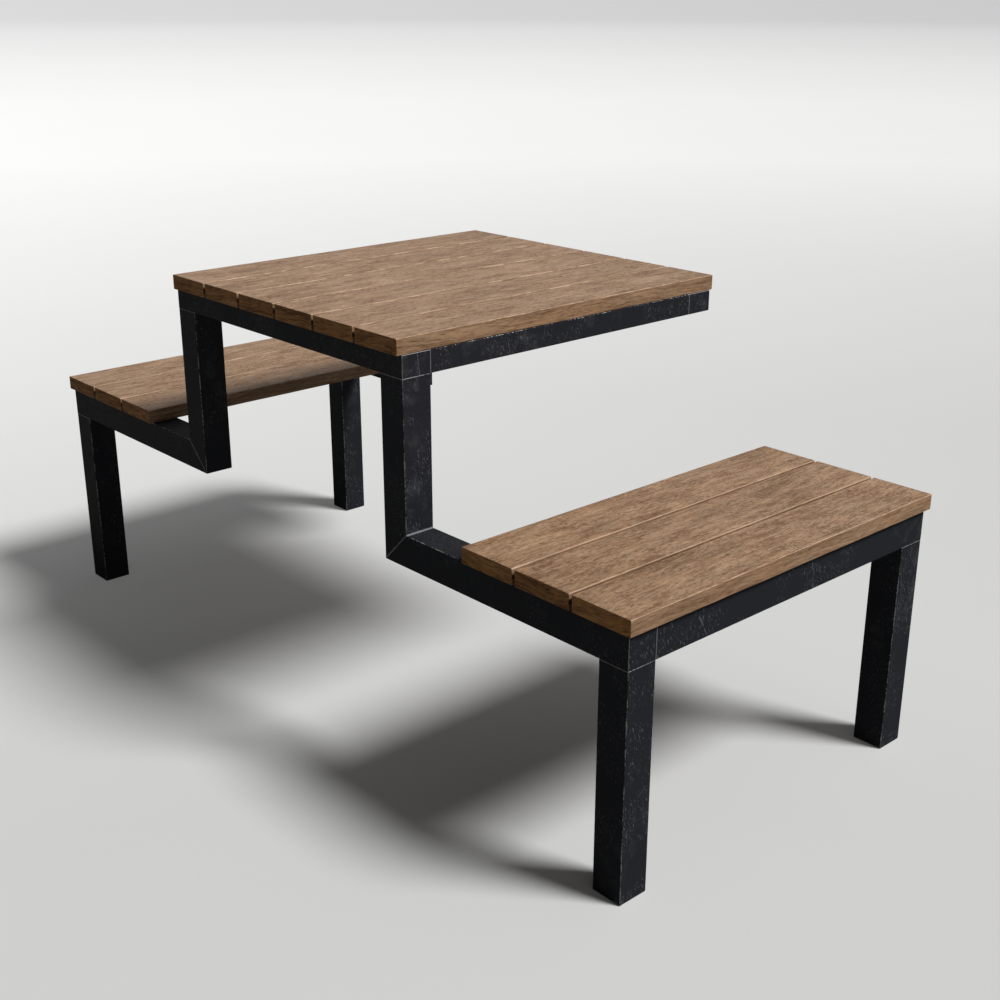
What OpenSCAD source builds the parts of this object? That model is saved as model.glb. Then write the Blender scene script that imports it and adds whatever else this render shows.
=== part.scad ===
// Small picnic table in three tiers: a plank table top between two plank seats.
// The steel frame is welded from square tube. Its front is one stepped hoop of two legs,
// two seat rails, two posts and the front table rail. The rear is open for getting in:
// the seats stand on two more legs there, and the table top is carried out over the gap.
// The origin is on the floor under the middle of the table. X runs from seat to seat,
// Y from the front hoop to the open rear, and Z up.

/* [Heights] */
// Height of the table top above the floor
table_h = 750; // [700:5:800]
// Height of the seats above the floor
seat_h = 459; // [420:1:500]

/* [Planks] */
// Number of planks in the table top
table_planks = 6; // [4:1:8]
// Number of planks in each seat
seat_planks = 3; // [2:1:4]
// Width of one table plank
table_plank_w = 105; // [90:1:130]
// Width of one seat plank
seat_plank_w = 111; // [90:1:130]
// Thickness of every plank
plank_t = 26.5; // [22:0.5:35]
// Gap between neighbouring planks
plank_gap = 5.5; // [3:0.5:10]
// Radius of the eased long edges of a plank
plank_edge_r = 1.5; // [0.5:0.5:3]

/* [Layout] */
// Length of the steel frame from its front face to its rear face
frame_l = 712; // [600:1:1000]
// Clear width between the table planks and the seat planks
knee_gap = 143; // [100:1:250]
// How far each end of a table plank passes the frame
table_end_overhang = 8.5; // [0:0.5:20]
// How far each end of a seat plank passes the frame
seat_end_overhang = 6.5; // [0:0.5:20]
// How far the outer seat plank passes the side of the frame
seat_side_overhang = 7.5; // [0:0.5:15]
// How far the steel stands out past the side of the table planks
table_side_inset = 1.75; // [0:0.25:5]

/* [Steel tube] */
// Width of every tube, and depth of all but the table's tubes
tube_w = 55; // [45:1:60]
// Depth of the tubes under the table top
table_tube_h = 37; // [30:1:50]
// Wall of the tubes
tube_wall = 2.5; // [2:0.5:4]
// Outer corner radius of the tubes
tube_r = 1; // [0.5:0.5:4]
// Inner corner radius of the tubes
bore_r = 1; // [0.5:0.5:1.5]
// Thickness of the plates that close the tube ends
end_plate_t = 3; // [2:0.5:6]

/* [Feet] */
// How far a foot stands out below its leg
foot_drop = 1; // [0.5:0.5:5]
// Height of a foot inside its leg
foot_grip_h = 20; // [15:1:30]
// Thickness of the foot's sole inside the leg
foot_sole_t = 3; // [2:0.5:5]
// Wall of the foot's stem
foot_wall = 2.5; // [1.5:0.5:4]
// Number of gripping fins round the foot's stem
foot_fins = 3; // [2:1:4]
// Thickness of a gripping fin
foot_fin_t = 1.2; // [0.8:0.2:2]
// How far the fins stand out from the stem
foot_fin_w = 2.5; // [1.5:0.5:4]
// Clearance between a foot and the bore of its leg
foot_clearance = 0.1; // [0.1:0.05:0.5]

/* [Screws] */
// Shank diameter of the wood screws
screw_d = 5; // [4:0.5:6]
// Head diameter of the wood screws
screw_head_d = 10; // [8:0.5:12]
// Head height of the wood screws
screw_head_h = 3.2; // [2.5:0.1:4]
// Length of a screw below its head, its point included
screw_l = 22; // [15:1:24]
// Length of a screw's point
screw_point_l = 5; // [3:0.5:8]
// Diameter at the very tip of a screw
screw_tip_d = 0.6; // [0.2:0.1:1]
// Size across the corners of the socket in a screw's head
screw_socket_d = 4.6; // [3:0.1:5.5]
// Depth of the socket in a screw's head
screw_socket_h = 1.8; // [1:0.1:2.2]
// Clearance round a screw's shank in steel and in wood
screw_clearance = 0.15; // [0.1:0.05:0.4]
// Diameter of the access holes for the screwdriver
access_d = 14; // [12.5:0.5:18]
// Distance of the screws from the long edges of a plank
screw_edge_inset = 25; // [18:1:35]
// Distance of the screws in the side beams from the rails they butt
beam_screw_inset = 60; // [30:5:150]

/* [Hidden] */
$fn = 48;
// Overlap of a cut past the face it starts from, and the least radius of a moulded corner
eps = 0.01;
least_r = 0.2;
SIDES = ["left", "right"];
STEEL = [0.11, 0.12, 0.13];
RUBBER = [0.05, 0.05, 0.05];
ZINC = [0.66, 0.67, 0.68];
WOODS = [[0.60, 0.46, 0.35], [0.55, 0.42, 0.32], [0.63, 0.48, 0.37]];

// Heights of the two frames under their planks
table_rail_top = table_h - plank_t;
table_rail_bottom = table_rail_top - table_tube_h;
seat_rail_top = seat_h - plank_t;
seat_rail_bottom = seat_rail_top - tube_w;

// Planks across the table and the seats
table_w = table_planks * table_plank_w + (table_planks - 1) * plank_gap;
seat_w = seat_planks * seat_plank_w + (seat_planks - 1) * plank_gap;
table_left_x = -table_w / 2;
seat_in_x = table_w / 2 + knee_gap;
seat_out_x = seat_in_x + seat_w;
table_plank_l = frame_l + 2 * table_end_overhang;
seat_plank_l = frame_l + 2 * seat_end_overhang;

// Faces of the steel frame
post_out_x = table_w / 2 + table_side_inset;
post_in_x = post_out_x - tube_w;
leg_out_x = seat_out_x - seat_side_overhang;
leg_in_x = leg_out_x - tube_w;
frame_front_y = -frame_l / 2;
frame_rear_y = frame_l / 2;
beam_front_y = frame_front_y + tube_w;
beam_rear_y = frame_rear_y - tube_w;
rail_y = (frame_rear_y + beam_rear_y) / 2;

// Bore of the tubes, the feet in it and the screws through it
bore_w = tube_w - 2 * tube_wall;
foot_w = bore_w - 2 * foot_clearance;
foot_r = max(bore_r - foot_clearance, least_r);
foot_stem_w = foot_w - 2 * foot_fin_w;
foot_hollow_w = foot_stem_w - 2 * foot_wall;
foot_sole_top = foot_drop + foot_sole_t;
foot_fin_pitch = (foot_grip_h - foot_sole_t) / foot_fins;
screw_hole_d = screw_d + 2 * screw_clearance;
screw_bite = screw_l - tube_wall;

// Near edge of plank i of a row that starts at x0, and the two screw lines along that plank
function plank_x(x0, width, i) = x0 + (i - 1) * (width + plank_gap);
function screw_lines(x0, width, i) =
    let (x = plank_x(x0, width, i)) [x + screw_edge_inset, x + width - screw_edge_inset];

// Screws up through the rails. A post, leg or seat beam below a rail leaves no way to a screw,
// so the lines over it are held through the side beams instead.
table_rail_screws = [
    for (i = [1 : table_planks], x = screw_lines(table_left_x, table_plank_w, i))
        if (abs(x) + access_d / 2 < post_in_x) x
];
seat_rail_screws = [
    for (i = [1 : seat_planks], x = screw_lines(seat_in_x, seat_plank_w, i))
        if (x + access_d / 2 < leg_in_x) x
];
rail_screw_y = [-rail_y, rail_y];
beam_screw_y = [beam_front_y + beam_screw_inset, beam_rear_y - beam_screw_inset];
table_beam_x = (post_in_x + post_out_x) / 2;
seat_beam_x = (leg_in_x + leg_out_x) / 2;

// Where every screw of the table and of the right seat stands
table_screw_spots = concat(
    [for (x = table_rail_screws, y = rail_screw_y) [x, y]],
    [for (x = [-table_beam_x, table_beam_x], y = beam_screw_y) [x, y]]
);
seat_screw_spots = concat(
    [for (x = seat_rail_screws, y = rail_screw_y) [x, y]],
    [for (y = beam_screw_y) [seat_beam_x, y]]
);

// Pieces that the left and the right side have alike
SIDE_PIECES = [
    "table_beam", "post", "front_seat_rail", "rear_seat_rail", "seat_beam", "front_leg", "rear_leg",
    "front_table_cap", "rear_table_cap", "front_seat_cap", "rear_seat_cap", "seat_beam_cap",
    "front_foot", "rear_foot", "seat_screws"
];

// Draws its children on the right, or mirrored on the left
module on_side(side) {
    if (side == "left")
        mirror([1, 0, 0]) children();
    else
        children();
}

// Rectangle with round corners, centred on the origin
module rounded_rect(w, h, r) {
    square([w - 2 * r, h], center = true);
    square([w, h - 2 * r], center = true);
    for (x = [r - w / 2, w / 2 - r], y = [r - h / 2, h / 2 - r])
        translate([x, y]) circle(r);
}

// Section of a hollow tube of depth h
module tube_section(h) {
    difference() {
        rounded_rect(tube_w, h, tube_r);
        rounded_rect(bore_w, h - 2 * tube_wall, bore_r);
    }
}

// Tube of the given depth along X, from x0 to x1, with its top at z and its middle at y
module tube_x(x0, x1, y, z, h) {
    translate([x0, y, z - h / 2])
        rotate([90, 0, 90])
            linear_extrude(x1 - x0) tube_section(h);
}

// Tube of the given depth along Y, from y0 to y1, with its top at z and its middle at x
module tube_y(y0, y1, x, z, h) {
    translate([x, y1, z - h / 2])
        rotate([90, 0, 0])
            linear_extrude(y1 - y0) tube_section(h);
}

// Upright square tube from z0 to z1
module tube_z(z0, z1, x, y) {
    translate([x, y, z0])
        linear_extrude(z1 - z0) tube_section(tube_w);
}

// Holes up through a tube: wide in its bottom wall for the screwdriver, narrow in its top wall
module screw_holes(spots, top, h) {
    for (p = spots) {
        translate([p[0], p[1], top - h - eps])
            cylinder(d = access_d, h = h / 2);
        translate([p[0], p[1], top - h / 2])
            cylinder(d = screw_hole_d, h = h);
    }
}

// Blind holes that the screws leave in the underside of a plank
module pilot_holes(spots, bottom) {
    for (p = spots)
        translate([p[0], p[1], bottom - eps])
            cylinder(d = screw_hole_d, h = screw_bite + screw_clearance + eps);
}

// One plank with its edges eased all round, its near edge at x0 and its top at z
module plank(x0, width, length, z, spots) {
    difference() {
        translate([x0 + width / 2, 0, z - plank_t / 2])
            intersection() {
                rotate([90, 0, 0])
                    linear_extrude(length, center = true)
                        rounded_rect(width, plank_t, plank_edge_r);
                rotate([90, 0, 90])
                    linear_extrude(width, center = true)
                        rounded_rect(length, plank_t, plank_edge_r);
            }
        pilot_holes([for (p = spots) if (p[0] > x0 && p[0] < x0 + width) p], z - plank_t);
    }
}

module table_plank(i) {
    x0 = plank_x(table_left_x, table_plank_w, i);
    color(WOODS[i % len(WOODS)])
        plank(x0, table_plank_w, table_plank_l, table_h, table_screw_spots);
}

module seat_plank(i) {
    x0 = plank_x(seat_in_x, seat_plank_w, i);
    color(WOODS[i % len(WOODS)])
        plank(x0, seat_plank_w, seat_plank_l, seat_h, seat_screw_spots);
}

// Rail across the table's front or rear, over the posts at the front
module table_rail(y) {
    color(STEEL) difference() {
        tube_x(-post_out_x, post_out_x, y, table_rail_top, table_tube_h);
        screw_holes([for (x = table_rail_screws) [x, y]], table_rail_top, table_tube_h);
    }
}

// Beam along the side of the table, between its two rails
module table_beam() {
    color(STEEL) difference() {
        tube_y(beam_front_y, beam_rear_y, table_beam_x, table_rail_top, table_tube_h);
        screw_holes([for (y = beam_screw_y) [table_beam_x, y]], table_rail_top, table_tube_h);
    }
}

// Solid on one side of the mitre between the post and the front seat rail
module mitre_side(above) {
    translate([post_in_x, -rail_y, seat_rail_bottom])
        rotate([0, -45, 0])
            translate([-tube_w / 2, -tube_w, above ? 0 : -2 * tube_w])
                cube([3 * tube_w, 2 * tube_w, 2 * tube_w]);
}

// Post from the mitre up to the front table rail
module post() {
    color(STEEL) difference() {
        tube_z(seat_rail_bottom, table_rail_bottom, table_beam_x, -rail_y);
        mitre_side(above = false);
    }
}

// Seat rail from the mitre out over the front leg
module front_seat_rail() {
    color(STEEL) difference() {
        tube_x(post_in_x, leg_out_x, -rail_y, seat_rail_top, tube_w);
        mitre_side(above = true);
        screw_holes([for (x = seat_rail_screws) [x, -rail_y]], seat_rail_top, tube_w);
    }
}

// Short seat rail from the seat's inner edge to the seat beam
module rear_seat_rail() {
    color(STEEL) difference() {
        tube_x(seat_in_x, leg_in_x, rail_y, seat_rail_top, tube_w);
        screw_holes([for (x = seat_rail_screws) [x, rail_y]], seat_rail_top, tube_w);
    }
}

// Beam along the outer side of the seat, from the front seat rail out over the rear leg
module seat_beam() {
    color(STEEL) difference() {
        tube_y(beam_front_y, frame_rear_y, seat_beam_x, seat_rail_top, tube_w);
        screw_holes([for (y = beam_screw_y) [seat_beam_x, y]], seat_rail_top, tube_w);
    }
}

// Leg under the end of a seat beam or front seat rail
module leg(y) {
    color(STEEL) tube_z(foot_drop, seat_rail_bottom, seat_beam_x, y);
}

// Plate welded into the open end of a tube of depth h, flush with that end
module end_plate(h) {
    linear_extrude(end_plate_t) rounded_rect(bore_w, h - 2 * tube_wall, bore_r);
}

// End plate that closes a tube along X, from x on
module cap_x(x, y, top, h) {
    color(STEEL) translate([x, y, top - h / 2])
        rotate([90, 0, 90]) end_plate(h);
}

module table_cap(y) {
    cap_x(post_out_x - end_plate_t, y, table_rail_top, table_tube_h);
}

module front_seat_cap() {
    cap_x(leg_out_x - end_plate_t, -rail_y, seat_rail_top, tube_w);
}

module rear_seat_cap() {
    cap_x(seat_in_x, rail_y, seat_rail_top, tube_w);
}

module seat_beam_cap() {
    color(STEEL) translate([seat_beam_x, frame_rear_y, seat_rail_top - tube_w / 2])
        rotate([90, 0, 0]) end_plate(tube_w);
}

// Plug in the bottom of a leg: a sole, a hollow stem and fins that grip the bore
module foot(y) {
    color(RUBBER) translate([seat_beam_x, y, 0]) {
        linear_extrude(foot_sole_top) rounded_rect(foot_w, foot_w, foot_r);
        difference() {
            union() {
                linear_extrude(foot_drop + foot_grip_h)
                    rounded_rect(foot_stem_w, foot_stem_w, foot_r);
                for (i = [1 : foot_fins])
                    translate([0, 0, foot_sole_top + i * foot_fin_pitch - foot_fin_t])
                        linear_extrude(foot_fin_t) rounded_rect(foot_w, foot_w, foot_r);
            }
            translate([0, 0, foot_sole_top])
                linear_extrude(foot_grip_h)
                    rounded_rect(foot_hollow_w, foot_hollow_w, foot_r);
        }
    }
}

// Domed wood screw, point up, with the flat of its head at z = 0 and a six-sided socket below
module screw() {
    head_r = screw_head_d / 2;
    dome_r = (pow(head_r, 2) + pow(screw_head_h, 2)) / (2 * screw_head_h);
    difference() {
        union() {
            intersection() {
                translate([0, 0, dome_r - screw_head_h]) sphere(r = dome_r);
                translate([0, 0, -screw_head_h]) cylinder(r = head_r, h = screw_head_h);
            }
            translate([0, 0, -eps]) cylinder(d = screw_d, h = screw_l - screw_point_l + eps);
            translate([0, 0, screw_l - screw_point_l])
                cylinder(d1 = screw_d, d2 = screw_tip_d, h = screw_point_l);
        }
        translate([0, 0, -screw_head_h - eps])
            cylinder(d = screw_socket_d, h = screw_socket_h + eps, $fn = 6);
    }
}

// Screws with their heads drawn up against the inside of a tube's top wall
module screws(spots, top) {
    color(ZINC)
        for (p = spots)
            translate([p[0], p[1], top - tube_wall]) screw();
}

module table_screws() {
    screws(table_screw_spots, table_rail_top);
}

module seat_screws() {
    screws(seat_screw_spots, seat_rail_top);
}

for (i = [1 : table_planks])
    table_plank(i);
for (s = SIDES, i = [1 : seat_planks])
    on_side(s) seat_plank(i);
table_rail(-rail_y);  // front_table_rail
table_rail(rail_y);  // rear_table_rail
table_screws();
for (s = SIDES) {
    on_side(s) table_beam();
    on_side(s) post();
    on_side(s) front_seat_rail();
    on_side(s) rear_seat_rail();
    on_side(s) seat_beam();
    on_side(s) leg(-rail_y);
    on_side(s) leg(rail_y);
    on_side(s) table_cap(-rail_y);
    on_side(s) table_cap(rail_y);
    on_side(s) front_seat_cap();
    on_side(s) rear_seat_cap();
    on_side(s) seat_beam_cap();
    on_side(s) foot(-rail_y);
    on_side(s) foot(rail_y);
    on_side(s) seat_screws();
}
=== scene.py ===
import math

import bpy
import numpy as np
from bpy.props import FloatProperty, FloatVectorProperty, PointerProperty
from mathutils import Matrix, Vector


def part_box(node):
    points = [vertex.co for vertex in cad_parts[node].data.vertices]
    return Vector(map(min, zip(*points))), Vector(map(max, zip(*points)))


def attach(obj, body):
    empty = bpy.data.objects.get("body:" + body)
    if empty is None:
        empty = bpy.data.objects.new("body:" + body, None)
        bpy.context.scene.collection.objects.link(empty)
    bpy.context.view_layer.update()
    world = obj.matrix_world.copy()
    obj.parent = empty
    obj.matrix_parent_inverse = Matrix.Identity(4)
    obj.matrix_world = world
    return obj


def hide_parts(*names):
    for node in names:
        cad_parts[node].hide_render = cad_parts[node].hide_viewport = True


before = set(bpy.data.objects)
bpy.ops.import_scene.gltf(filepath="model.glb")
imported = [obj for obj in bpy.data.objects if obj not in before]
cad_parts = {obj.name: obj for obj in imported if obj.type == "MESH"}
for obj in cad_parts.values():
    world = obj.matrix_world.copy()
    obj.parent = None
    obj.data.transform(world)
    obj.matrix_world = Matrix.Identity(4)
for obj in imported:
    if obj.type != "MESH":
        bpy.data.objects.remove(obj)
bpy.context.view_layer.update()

bl_info = {
    "name": "Tiered picnic table",
    "version": (1, 0, 0),
    "blender": (4, 5, 0),
    "location": "3D View > Sidebar > Picnic table",
    "description": "Dresses the solids of a tiered picnic table with boards, tubes and worn paint",
    "category": "Object",
}

MM = 0.001
SIDES = ("left", "right")
# A mark's value where no edge is near, in millimetres
FAR = 12.0


# Sizes and colours that a user may change


class PICNIC_PG_boards(bpy.types.PropertyGroup):
    """Sizes and colours of the boards"""

    arris: FloatProperty(
        name="Arris radius", description="Mean radius of the worn long edges",
        default=1.2 * MM, min=0.6 * MM, max=3 * MM, precision=4, unit="LENGTH",
    )
    end_easing: FloatProperty(
        name="End easing", description="How far the edges of the sawn ends are eased",
        default=0.8 * MM, min=0.3 * MM, max=2 * MM, precision=4, unit="LENGTH",
    )
    tan: FloatVectorProperty(
        name="Tan", description="Colour of the wood where the sun hasn't reached",
        default=(0.296, 0.181, 0.102), min=0, max=1, subtype="COLOR",
    )
    # Mixed into the tops as a painted sheen, and the base of the pale rubbed arrises
    bleached_and_sheen: FloatVectorProperty(
        name="Bleached", description="Colour of the tops that the sun has greyed",
        default=(0.366, 0.248, 0.169), min=0, max=1, subtype="COLOR",
    )
    brown: FloatVectorProperty(
        name="Brown", description="Colour of the redder patches",
        default=(0.342, 0.192, 0.104), min=0, max=1, subtype="COLOR",
    )
    grain: FloatVectorProperty(
        name="Grain", description="Tint of the darkest grain",
        default=(0.52, 0.44, 0.36), min=0, max=1, subtype="COLOR",
    )


class PICNIC_PG_steel(bpy.types.PropertyGroup):
    """Sizes and colours of the welded frame"""

    wall: FloatProperty(
        name="Wall", description="Thickness of the tube's wall",
        default=2.5 * MM, min=2 * MM, max=4 * MM, precision=4, unit="LENGTH",
    )
    corner: FloatProperty(
        name="Corner radius", description="Outer radius of the tube's long corners",
        default=1 * MM, min=0.5 * MM, max=4 * MM, precision=4, unit="LENGTH",
    )
    bore_corner: FloatProperty(
        name="Bore radius", description="Inner radius of the tube's long corners",
        default=1 * MM, min=0.5 * MM, max=1.5 * MM, precision=4, unit="LENGTH",
    )
    end_easing: FloatProperty(
        name="End easing", description="How far a tube's end is ground back at a joint",
        default=0.5 * MM, min=0.2 * MM, max=1.4 * MM, precision=4, unit="LENGTH",
    )
    access: FloatProperty(
        name="Access hole", description="Diameter of the holes for the screwdriver",
        default=14 * MM, min=12 * MM, max=16 * MM, precision=4, unit="LENGTH",
    )
    screw_inset: FloatProperty(
        name="Screw inset", description="Distance of the screws from a board's long edges",
        default=25 * MM, min=18 * MM, max=35 * MM, precision=4, unit="LENGTH",
    )
    beam_inset: FloatProperty(
        name="Beam inset", description="Distance of a side beam's screws from the rails",
        default=60 * MM, min=30 * MM, max=150 * MM, precision=4, unit="LENGTH",
    )
    paint: FloatVectorProperty(
        name="Paint", description="Colour of the black paint",
        default=(0.0139, 0.0154, 0.0208), min=0, max=1, subtype="COLOR",
    )
    chalk: FloatVectorProperty(
        name="Chalk", description="Colour of the rubbed, chalky patches",
        default=(0.060, 0.062, 0.068), min=0, max=1, subtype="COLOR",
    )
    bare: FloatVectorProperty(
        name="Bare steel", description="Colour of the steel where the paint has gone",
        default=(0.44, 0.44, 0.45), min=0, max=1, subtype="COLOR",
    )
    wear: FloatProperty(
        name="Wear", description="Half the width of the worn line along an edge",
        default=0.6 * MM, min=0, max=3 * MM, precision=5, unit="LENGTH",
    )


class PICNIC_PG_fittings(bpy.types.PropertyGroup):
    """Colours of the feet and the screws"""

    moulding: FloatVectorProperty(
        name="Foot", description="Colour of the black foot plugs",
        default=(0.018, 0.018, 0.019), min=0, max=1, subtype="COLOR",
    )
    dust: FloatVectorProperty(
        name="Dust", description="Colour of the dust on the feet",
        default=(0.11, 0.10, 0.09), min=0, max=1, subtype="COLOR",
    )
    zinc: FloatVectorProperty(
        name="Screw", description="Colour of the plated screws",
        default=(0.58, 0.59, 0.60), min=0, max=1, subtype="COLOR",
    )


class PICNIC_PG_stage(bpy.types.PropertyGroup):
    """Floor, light and camera"""

    floor: FloatVectorProperty(
        name="Floor", description="Colour of the floor round the table",
        default=(0.636, 0.636, 0.626), min=0, max=1, subtype="COLOR",
    )
    key: FloatProperty(
        name="Key light", description="Strength of the main light",
        default=3.45, min=0, max=10,
    )
    key_turn: FloatProperty(
        name="Key turn", description="Direction that the main light comes from, turned from +X",
        default=math.radians(28.0), min=-math.pi, max=math.pi, subtype="ANGLE",
    )
    key_height: FloatProperty(
        name="Key height", description="Angle of the main light above the floor",
        default=math.radians(51.8), min=0, max=math.pi / 2, subtype="ANGLE",
    )
    key_size: FloatProperty(
        name="Key size", description="Apparent width of the main light",
        default=math.radians(18.5), min=0, max=math.pi / 2, subtype="ANGLE",
    )
    fill: FloatProperty(
        name="Fill", description="Strength of the light from all round",
        default=0.020, min=0, max=2,
    )
    side_fill: FloatProperty(
        name="Side fill", description="Strength of the soft light from the key's side",
        default=0.28, min=0, max=2,
    )
    sheen: FloatProperty(
        name="Sheen", description="Strength of the bright backdrop that the tops mirror dully",
        default=1.0, min=0, max=4,
    )


# Shader maths


class Value:
    """An output socket. Arithmetic on it adds the Math nodes that work the expression out."""

    def __init__(self, shader, socket):
        self.shader, self.socket = shader, socket

    def math(self, operation, *operands):
        return self.shader.add("ShaderNodeMath", {"operation": operation}, dict(enumerate(operands)))

    def __add__(self, other):
        return self.math("ADD", self, other)

    def __sub__(self, other):
        return self.math("SUBTRACT", self, other)

    def __rsub__(self, other):
        return self.math("SUBTRACT", other, self)

    def __mul__(self, other):
        return self.math("MULTIPLY", self, other)

    def __truediv__(self, other):
        return self.math("DIVIDE", self, other)

    def __lt__(self, other):
        return self.math("LESS_THAN", self, other)

    def __pow__(self, other):
        return self.math("POWER", self, other)

    __radd__ = __add__
    __rmul__ = __mul__

    def least(self, other):
        return self.math("MINIMUM", self, other)

    def most(self, other):
        return self.math("MAXIMUM", self, other)

    def step(self, none, full):
        """A mask that is 0 at none and beyond, and 1 at full and beyond, with a smooth slope between."""
        ends = {"From Min": min(none, full), "From Max": max(none, full)}
        reach = {"To Min": float(none > full), "To Max": float(none < full)}
        settings = {"interpolation_type": "SMOOTHSTEP"}
        return self.shader.add("ShaderNodeMapRange", settings, {"Value": self, **ends, **reach})


class Shader:
    """A node tree that is written as calls, for a material or a world."""

    def __init__(self, owner):
        owner.use_nodes = True
        self.tree = owner.node_tree
        self.tree.nodes.clear()

    def add(self, kind, settings=None, sockets=None, output=0):
        """Adds a node: its settings first, then the value or the link of each socket that is named or
        counted among those in use. Gives back one of the outputs in use."""
        node = self.tree.nodes.new(kind)
        for key, setting in (settings or {}).items():
            if key == "stops":
                self.set_stops(node.color_ramp.elements, setting)
            else:
                setattr(node, key, setting)
        used = [s for s in node.inputs if s.enabled]
        for key, given in (sockets or {}).items():
            socket = used[key] if isinstance(key, int) else next(s for s in used if s.name == key)
            if isinstance(given, Value):
                self.tree.links.new(given.socket, socket)
            elif socket.type == "RGBA":
                socket.default_value = (*given, 1.0)
            else:
                socket.default_value = given
        outputs = [s for s in node.outputs if s.enabled]
        return Value(self, outputs[output]) if outputs else None

    @staticmethod
    def set_stops(elements, stops):
        """Stops of a ramp that carries two numbers, as its red and its green."""
        while len(elements) < len(stops):
            elements.new(1.0)
        for element, (place, first, second) in zip(elements, stops):
            element.position, element.color = place, (first, second, 0.0, 1.0)

    def place(self):
        """Where a point of the surface is, in metres."""
        return self.add("ShaderNodeTexCoord", output=3)

    def mark(self, name):
        """A number that the mesh carries at each point."""
        return self.add("ShaderNodeAttribute", {"attribute_name": name}, output=2)

    def vector(self, operation, *operands):
        return self.add("ShaderNodeVectorMath", {"operation": operation}, dict(enumerate(operands)))

    def part(self, vector, axis):
        return self.add("ShaderNodeSeparateXYZ", {}, {0: vector}, output=axis)

    def noise(self, vector, scale, detail=3.0, roughness=0.55, distortion=0.0, output=0):
        """Noise round 0.5. A scale of three numbers draws it out along the axis with the smallest."""
        if hasattr(scale, "__len__") or isinstance(scale, Value):
            vector, scale = self.vector("MULTIPLY", vector, scale), 1.0
        sockets = {
            "Vector": vector, "Scale": scale,
            "Detail": detail, "Roughness": roughness, "Distortion": distortion,
        }
        return self.add("ShaderNodeTexNoise", {}, sockets, output)

    def mix(self, factor, first, second, blend="MIX", kind="RGBA"):
        """A colour, or a vector, between two."""
        settings = {"data_type": kind}
        if kind == "RGBA":
            settings["blend_type"] = blend
        return self.add("ShaderNodeMix", settings, {0: factor, 1: first, 2: second})

    def bump(self, height, distance, strength=1.0):
        sockets = {"Strength": strength, "Distance": distance, "Height": height}
        return self.add("ShaderNodeBump", {}, sockets)

    def surface(self, hidden=None, **sockets):
        """The Principled surface. A space in a socket's name is written as an underscore. Where a mask
        says hidden, there is no surface to light up."""
        named = {key.replace("_", " "): given for key, given in sockets.items()}
        shader = self.add("ShaderNodeBsdfPrincipled", {}, named)
        if hidden is not None:
            shader = self.add("ShaderNodeMixShader", {}, {0: hidden, 1: shader})
        self.add("ShaderNodeOutputMaterial", {}, {"Surface": shader})


def finish(paint):
    """The material that a paint function makes, made the first time it is asked for."""
    made = bpy.data.materials.get(paint.__name__)
    if made is None:
        made = bpy.data.materials.new(paint.__name__)
        paint(Shader(made))
    return made


def scaled(colour, times):
    """The colour times a factor, with no part above 1."""
    return tuple(min(1.0, times * part) for part in colour)


def brighter_than(tint):
    """The tint as far above 1 as another lies below it."""
    return tuple(2.0 - part for part in tint)


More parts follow.
